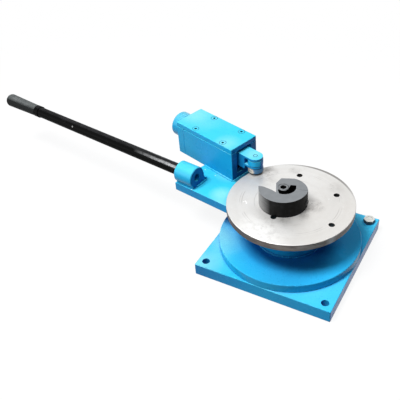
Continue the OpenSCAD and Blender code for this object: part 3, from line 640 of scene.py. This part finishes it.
def roller_steel():
    """Lower roller: steel with wear marks, blue on the side away from the lever, a painted shadow at its foot and
    painted shade in creases.
    """
    n = Nodes("roller_steel")
    place = n.place()
    x, y, z = n.parts(place)
    middle = centre_of("lower_roller")
    wear = n.noise(n.stretched(place, 1.0, 1.0, 3.0), 90.0, 3.0)
    base = n.blend(n.span(wear, 0.38, 0.66), ROLLER_WORN, ROLLER_STAIN)
    ragged = n.math("ADD", x, n.times(n.math("SUBTRACT", wear, 0.5), 8 * MM))
    blue_side = n.span(ragged, middle.x + 1.0 * MM, middle.x + 4.5 * MM)
    base = n.blend(n.times(blue_side, 0.92), base, ROLLER_BLUE_SIDE)
    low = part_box("lower_roller")[0].z
    # Painted contact shadow at the roller's foot
    base = n.blend(n.span(z, low + 3.0 * MM, low + 2.2 * MM), base, ROLLER_FOOT_SHADOW)
    # Painted shade in creases
    base = n.blend(n.times(n.creases(5 * MM), 0.5), base, HOLE_SHADE)
    normal = n.bump(wear, 0.15, 0.2 * MM, n.rounded(0.5 * MM))
    metal = n.span(blue_side, 0.0, 1.0, 0.35, 0.0)
    return n.surface(base, n.span(wear, 0.3, 0.7, 0.30, 0.46), normal, metallic=metal, specular=0.3)


def die_steel():
    """Die: a ground top and painted edge highlights over dark sides, with painted light on the sides at the open
    end and painted shade in the slot.
    """
    n = Nodes("die_steel")
    place = n.place()
    low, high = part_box("scroll_die")
    x, y, z = n.parts(place)
    top = n.span(z, high.z - 0.45 * MM, high.z - 0.20 * MM)
    scale = n.noise(place, 110.0, 4.0, 0.6)
    # Painted light on the sides at the open end, broken by streaks
    wear_and_light = n.times(n.span(x, low.x + 34 * MM, low.x + 3 * MM), n.span(y, high.y - 12 * MM, high.y - 26 * MM))
    streak = n.noise(n.stretched(place, 0.4, 0.4, 5.0), 130.0, 2.0)
    wear_and_light = n.times(wear_and_light, n.span(streak, 0.25, 0.60, 0.55, 1.0))
    side = n.blend(wear_and_light, n.blend(n.span(scale, 0.45, 0.75), DIE_SIDE, DIE_SCALE), DIE_LIT_SIDE)
    face = n.blend(n.span(scale, 0.4, 0.75), DIE_TOP, DIE_TOP_PALE)
    colour = n.blend(top, side, face)
    deep = n.math("SUBTRACT", 1.0, n.span(n.creases(9 * MM), 0.0, 0.6))
    # Painted highlights on the ground edges, kept out of hollows
    colour = n.blend(n.times(n.edges(0.5 * MM), deep, 0.75), colour, DIE_EDGE)
    # Painted shade in the slot round the screw
    from_screw = n.apart(x, y, centre_of("die_screw"))
    slot = n.span(from_screw, DIE_SLOT_R + 0.5 * MM, DIE_SLOT_R - 0.5 * MM)
    colour = n.blend(n.times(slot, n.math("SUBTRACT", 1.0, top)), colour, DIE_SLOT_SHADE)
    grind = n.noise(n.stretched(place, 8.0, 1.0, 1.0), 160.0, 2.0)
    normal = n.bump(grind, 0.10, 0.15 * MM, n.rounded(0.5 * MM))
    rough = n.span(scale, 0.3, 0.7, 0.42, 0.58)
    return n.surface(colour, rough, normal, metallic=n.times(top, 0.15), specular=0.06)


def screw_in_die():
    """Die screw: its head like the die's top, with painted edge highlights, and its socket black with painted
    shade.
    """
    n = Nodes("die_screw_steel")
    place = n.place()
    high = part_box("die_screw")[1]
    z = n.parts(place)[2]
    mottle = n.noise(place, 150.0, 3.0)
    face = n.blend(n.span(mottle, 0.4, 0.7), SCREW_TOP, SCREW_SHADE)
    # Painted shade in the socket
    deep = n.span(z, high.z - 0.5 * MM, high.z - 1.4 * MM)
    colour = n.blend(deep, face, SCREW_SOCKET_SHADE)
    # Painted highlights on the head's edges
    colour = n.blend(n.times(n.edges(0.4 * MM), n.math("SUBTRACT", 1.0, deep), 0.6), colour, DIE_EDGE)
    return n.surface(colour, 0.5, n.rounded(0.4 * MM), specular=0.15)


def lever_enamel():
    """Black bar with fine handling marks, a painted sheen on its top, a painted reflection streak by the socket
    and one pale nick.
    """
    n = Nodes("lever_enamel")
    place = n.place()
    mark = n.noise(place, 30.0, 5.0, 0.65)
    facing = n.facing()
    x = n.parts(place)[0]
    # Painted sheen on the bar's top
    upper = n.times(n.span(facing[2], 0.88, 0.97), n.span(mark, 0.36, 0.60, 0.40, 1.0))
    colour = n.blend(n.times(upper, 0.9), LEVER_BLACK, LEVER_TOP_SHEEN)
    colour = n.blend(n.span(mark, 0.60, 0.72, 0.0, 0.5), colour, LEVER_MARK)
    turn, low, _ = turned_box("lever_socket", LEVER_TURN)
    root = turn @ low
    # Painted reflection streak along the top by the socket
    near = n.span(x, root.x - 110 * MM, root.x + 5 * MM)
    wear_and_light = n.span(n.noise(place, 90.0, 4.0, 0.6), 0.36, 0.56, 0.35, 1.0)
    streak = n.times(n.line(facing[2], 0.80, 0.13), wear_and_light)
    colour = n.blend(n.times(streak, near, 0.95), colour, LEVER_REFLECTION)
    nick = n.times(n.line(x, LEVER_NICK, 1.6 * MM), n.line(facing[2], 0.52, 0.09))
    nick = n.times(nick, n.span(facing[1], 0.0, -0.3))
    colour = n.blend(n.times(nick, 0.9), colour, LEVER_CHIP)
    normal = n.bump(n.noise(place, 160.0, 2.0), 0.10, 0.3 * MM, n.rounded(0.5 * MM))
    return n.surface(colour, n.span(mark, 0.3, 0.7, 0.34, 0.46), normal, specular=0.02)


def grip_plastic():
    """Matt moulded grip, a little dusty, with painted shade on its underside."""
    n = Nodes("grip_plastic")
    place = n.place()
    dust = n.noise(place, 60.0, 4.0, 0.6)
    colour = n.blend(n.span(dust, 0.42, 0.72), GRIP_GREY, GRIP_DUST)
    # Painted shade on the underside
    under = n.span(n.facing()[2], 0.92, 0.60)
    colour = n.blend(n.times(under, 0.96), colour, GRIP_UNDER_SHADE)
    normal = n.bump(n.noise(place, 900.0, 2.0), 0.25, 0.2 * MM)
    return n.surface(colour, n.span(dust, 0.3, 0.7, 0.50, 0.64), normal, specular=0.06)


BEAD_BLUE = enamel("enamel_bead", bead=True)
MATERIALS = {
    "paint": enamel(),
    "bright_steel": roller_steel(),
    "steel": ground_steel("machined_steel", MACHINED, (0.30, 0.30, 0.29)),
    "zinc": ground_steel("zinc_plate", ZINC, ZINC_SHADE),
    "die_steel": die_steel(),
    "bronze": ground_steel("bronze", BRONZE, (0.34, 0.21, 0.08)),
    "black_enamel": lever_enamel(),
    "grip": grip_plastic(),
}
LID_SEATS = screw_places("lid_screws", ARM_TURN, LID_SCREW_R)
SPECIAL = {
    "faceplate": faceplate_steel(),
    "thrust_ring": ground_steel("ring_steel", (0.16, 0.14, 0.12), (0.08, 0.07, 0.06), 0.3),
    # Bolt with painted shade on its upright sides
    "mounting_bolt": ground_steel("bolt_zinc", (0.80, 0.81, 0.76), (0.60, 0.61, 0.57), 0.35,
                                  sides=(0.055, 0.065, 0.075)),
    "die_screw": screw_in_die(),
    "die_tie_screw": ground_steel("black_oxide", (0.010, 0.010, 0.011), (0.020, 0.020, 0.021), 0.0),
    # Near-black strip and spacer: painted shade where they sit in the box's mouth and between the rollers
    "wear_strip": ground_steel("strip_in_shade", (0.006, 0.012, 0.022), (0.010, 0.018, 0.030), 0.0),
    "roller_spacer": ground_steel("spacer_in_shade", (0.006, 0.020, 0.045), (0.004, 0.012, 0.028), 0.0),
    "box_lid": enamel("enamel_lid", rings=[(place, LID_SEAT_R) for place in LID_SEATS],
                      bands=[(UP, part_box("box_lid")[0].z, 0.4 * MM)]),
    "lid_screws": enamel("enamel_lid_screws", socket_top=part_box("lid_screws")[1].z),
    "roller_pin": enamel("enamel_pin", rings=[(centre_of("roller_pin").xy, PIN_SEAT_R)]),
    "upper_roller": enamel("enamel_roller",
                           bands=[(UP, level.z, 0.9 * MM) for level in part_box("upper_roller")]),
    "feed_knob": enamel("enamel_knob", dark=0.22,
                        bands=[(ALONG_ARM, turned_box("feed_knob", ARM_TURN)[2].x, 1.0 * MM)]),
    "screw_collar": enamel("enamel_collar",
                           bands=[(ALONG_ARM, turned_box("screw_collar", ARM_TURN)[2].x, 0.6 * MM)]),
    "lever_socket": enamel("enamel_socket", crease_reach=14 * MM),
    # Painted shade on the sides of the ram's nose
    "ram": enamel("enamel_ram", side_shade=0.42),
}


def dress(obj, material):
    obj.data.materials.clear()
    obj.data.materials.append(material)


def dress_cad_nodes():
    for part in frame["record"]["subparts"]:
        node = part["node"]
        dress(NODES[node], SPECIAL.get(node) or MATERIALS[part["material_slot"]])


# Weld beads

# Length of a weld bead's ripple, its cross-sections and the corners of each
RIPPLE_STEP = 3.2 * MM
RIPPLE_RINGS = 6
BEAD_SIDES = 10


def point_along(points, lengths, distance):
    """Place and direction at a distance along a line of points."""
    for a, b, length in zip(points, points[1:], lengths):
        if distance <= length or b is points[-1]:
            return a.lerp(b, min(distance / length, 1.0)), (b - a).normalized()
        distance -= length


def bead_mesh(points, radius, lean, seed):
    """Vertices and faces of a bead: a row of overlapping ripples of uneven size."""
    dice = random.Random(seed)
    lengths = [(b - a).length for a, b in zip(points, points[1:])]
    total = sum(lengths)
    count = max(2, int(total / RIPPLE_STEP)) * RIPPLE_RINGS
    swell = [dice.uniform(0.80, 1.15) for _ in range(count // RIPPLE_RINGS + 2)]
    verts, faces = [], []
    for i in range(count + 1):
        centre, flow = point_along(points, lengths, total * i / count)
        phase = i % RIPPLE_RINGS / RIPPLE_RINGS
        ripple = swell[i // RIPPLE_RINGS] * (0.84 + 0.24 * math.sin(math.pi * phase))
        close = min(1.0, 0.35 + 3.0 * min(i, count - i) / RIPPLE_RINGS)
        size = radius * ripple * close
        out = (lean - flow * lean.dot(flow)).normalized()
        side = flow.cross(out)
        for j in range(BEAD_SIDES):
            turn = 2 * math.pi * j / BEAD_SIDES
            verts.append(centre + size * (math.cos(turn) * out + math.sin(turn) * side))
    for i in range(count):
        here, ahead = i * BEAD_SIDES, (i + 1) * BEAD_SIDES
        for j in range(BEAD_SIDES):
            k = (j + 1) % BEAD_SIDES
            faces.append((here + j, here + k, ahead + k, ahead + j))
    faces.append(tuple(range(BEAD_SIDES))[::-1])
    faces.append(tuple(count * BEAD_SIDES + j for j in range(BEAD_SIDES)))
    return verts, faces


def weld(name, points, radius, body, lean, seed):
    """A welded bead along points, leaning out of the corner that it fills."""
    verts, faces = bead_mesh(points, radius, lean, seed)
    mesh = bpy.data.meshes.new(name)
    mesh.from_pydata(verts, [], faces)
    mesh.update()
    for face in mesh.polygons:
        face.use_smooth = True
    obj = bpy.data.objects.new(name, mesh)
    bpy.context.scene.collection.objects.link(obj)
    dress(obj, BEAD_BLUE)
    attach(obj, body)


# Radii of the beads along the box, across its front, round the socket and round the pedestal
BOX_BEAD = 2.4 * MM
FRONT_BEAD = 1.8 * MM
SOCKET_BEAD = 2.6 * MM
POST_BEAD = 2.6 * MM

# What a bead leaves free at a piece's end
BEAD_GAP = 1 * MM

# Straight steps in the ring round the pedestal
POST_STEPS = 72


def arm_seam(name, matrix, a, b, radius, lean, seed):
    """A bead on the arm's plate between two places of a turned frame."""
    ends = [matrix @ Vector((*place, ARM_TOP)) for place in (a, b)]
    weld(name, ends, radius, "arm", matrix @ Vector(lean), seed)


def box_welds():
    """Beads along both sides of the box and across its front."""
    arm, plate_low, _ = turned_box("arm_plate", ARM_TURN)
    near_low, near_high = NEAR_WALL[1:]
    far_high = turned_box("box_far_wall", ARM_TURN)[2]
    back = plate_low.x + 2 * BEAD_GAP
    front = near_high.x
    arm_seam("weld_box_near", arm, (back, near_low.y), (front, near_low.y), BOX_BEAD, (0, -1, 1), 3)
    arm_seam("weld_box_far", arm, (back, far_high.y), (far_high.x, far_high.y), BOX_BEAD, (0, 1, 1), 4)
    arm_seam("weld_box_front", arm, (front, near_low.y), (front, far_high.y), FRONT_BEAD, (1, 0, 1), 5)


def socket_welds():
    """Beads round the lever's socket."""
    lever, low, high = turned_box("lever_socket", LEVER_TURN)
    middle = (low.y + high.y) / 2
    front = high.x - BEAD_GAP
    near = middle - 10 * MM
    arm_seam("weld_socket_front", lever, (high.x, middle - 8 * MM), (high.x, high.y - BEAD_GAP),
             SOCKET_BEAD, (1, 0, 1), 7)
    arm_seam("weld_socket_far", lever, (low.x + BEAD_GAP, high.y), (front, high.y), SOCKET_BEAD, (0, 1, 1), 8)
    arm_seam("weld_socket_near", lever, (low.x + 2 * BEAD_GAP, near), (front, near), BOX_BEAD, (0, -1, 1), 9)


def pedestal_weld():
    """A bead round the pedestal's foot."""
    low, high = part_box("pedestal")
    post_r = (high.x - low.x) / 2
    turns = [2 * math.pi * i / POST_STEPS for i in range(POST_STEPS + 1)]
    ring = [Vector((post_r * math.cos(t), post_r * math.sin(t), RISER_TOP)) for t in turns]
    weld("weld_pedestal", ring, POST_BEAD, "base", UP, 6)


# Stage

def share_seen(nodes, links):
    """1 for rays that show the background: from the camera, from a reflection or through glass."""
    path = nodes.new("ShaderNodeLightPath")
    result = path.outputs["Is Camera Ray"]
    for key in ("Is Glossy Ray", "Is Transmission Ray"):
        either = nodes.new("ShaderNodeMath")
        either.operation = "MAXIMUM"
        links.new(result, either.inputs[0])
        links.new(path.outputs[key], either.inputs[1])
        result = either.outputs[0]
    return result


def floor_material():
    """White where it is seen, with a faint shadow, and a plain grey floor to the light."""
    n = Nodes("floor")
    grey = n.add("ShaderNodeBsdfDiffuse")
    grey.inputs["Color"].default_value = (*FLOOR_GREY, 1.0)
    pale = n.add("ShaderNodeBsdfDiffuse")
    pale.inputs["Color"].default_value = (*WHITE, 1.0)
    glow = n.add("ShaderNodeEmission")
    glow.inputs["Strength"].default_value = 1.0
    x, y, z = n.parts(n.place())
    white = n.add("ShaderNodeMixShader")
    n.feed(n.span(n.apart(x, y, (-0.25, 0.0)), 0.60, 1.00, 0.90, 1.0), white.inputs[0])
    n.join(pale.outputs[0], white.inputs[1])
    n.join(glow.outputs[0], white.inputs[2])
    both = n.add("ShaderNodeMixShader")
    n.join(share_seen(n.tree.nodes, n.tree.links), both.inputs[0])
    n.join(grey.outputs[0], both.inputs[1])
    n.join(white.outputs[0], both.inputs[2])
    n.join(both.outputs[0], n.out.inputs[0])
    return n.material


def build_floor():
    bpy.ops.mesh.primitive_plane_add(size=16.0, location=(0, 0, 0))
    floor = bpy.context.object
    floor.name = "floor"
    dress(floor, floor_material())
    floor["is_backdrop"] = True


def build_world():
    """A dim blue studio to the light, and white where the background is seen."""
    world = bpy.data.worlds.new("studio")
    bpy.context.scene.world = world
    world.use_nodes = True
    tree = world.node_tree
    tree.nodes.clear()
    dim = tree.nodes.new("ShaderNodeBackground")
    dim.inputs["Color"].default_value = (*STUDIO_BLUE, 1.0)
    dim.inputs["Strength"].default_value = 0.085
    white = tree.nodes.new("ShaderNodeBackground")
    white.inputs["Color"].default_value = (*WHITE, 1.0)
    either = tree.nodes.new("ShaderNodeMixShader")
    out = tree.nodes.new("ShaderNodeOutputWorld")
    tree.links.new(share_seen(tree.nodes, tree.links), either.inputs[0])
    tree.links.new(dim.outputs[0], either.inputs[1])
    tree.links.new(white.outputs[0], either.inputs[2])
    tree.links.new(either.outputs[0], out.inputs[0])


# Lamps: a name, the direction that it stands in, a size in metres and a level
LAMPS = (
    ("key", (-0.20, -0.35, 0.91), 1.2, 1.15),
    ("fill", (-0.75, -0.62, 0.22), 1.2, 0.24),
    ("back", (0.35, 0.45, 0.82), 1.4, 0.22),
)
LAMP_DISTANCE = 3.5
LAMP_TARGET = Vector((-0.12, 0, 0.08))


def area_lamp(name, towards, size, level):
    """A square lamp; at level 1 a white surface that faces it renders white."""
    light = bpy.data.lights.new(name, "AREA")
    light.size = size
    light.energy = level * math.pi ** 2 * LAMP_DISTANCE ** 2
    lamp = bpy.data.objects.new(name, light)
    bpy.context.scene.collection.objects.link(lamp)
    direction = Vector(towards).normalized()
    lamp.location = LAMP_TARGET + LAMP_DISTANCE * direction
    lamp.rotation_euler = direction.to_track_quat("Z", "Y").to_euler()


# Camera, solved from the photo's base plate and discs
CAMERA_PLACE = Vector((0.31814, -0.76282, 0.78449))
CAMERA_AZIMUTH = math.radians(33.304)
CAMERA_ELEVATION = math.radians(38.565)
CAMERA_ROLL = math.radians(5.345)
FOCAL_SHARE = 617.34 / 400


def build_camera():
    sin, cos = math.sin, math.cos
    az, el, roll = CAMERA_AZIMUTH, CAMERA_ELEVATION, CAMERA_ROLL
    ahead = Vector((-sin(az) * cos(el), cos(az) * cos(el), -sin(el)))
    level = Vector((cos(az), sin(az), 0.0))
    down = ahead.cross(level)
    right = cos(roll) * level + sin(roll) * down
    below = -sin(roll) * level + cos(roll) * down
    data = bpy.data.cameras.new("camera")
    data.sensor_fit = "HORIZONTAL"
    data.sensor_width = 36.0
    data.lens = FOCAL_SHARE * data.sensor_width
    data.clip_start = 0.02
    camera = bpy.data.objects.new("camera", data)
    bpy.context.scene.collection.objects.link(camera)
    turn = Matrix((right, -below, -ahead)).transposed()
    camera.matrix_world = Matrix.Translation(CAMERA_PLACE) @ turn.to_4x4()
    bpy.context.scene.camera = camera


dress_cad_nodes()
box_welds()
socket_welds()
pedestal_weld()
build_floor()
build_world()
for lamp in LAMPS:
    area_lamp(*lamp)
build_camera()
bpy.context.scene.view_settings.view_transform = "Standard"
write_sizes("dressed", sizes)
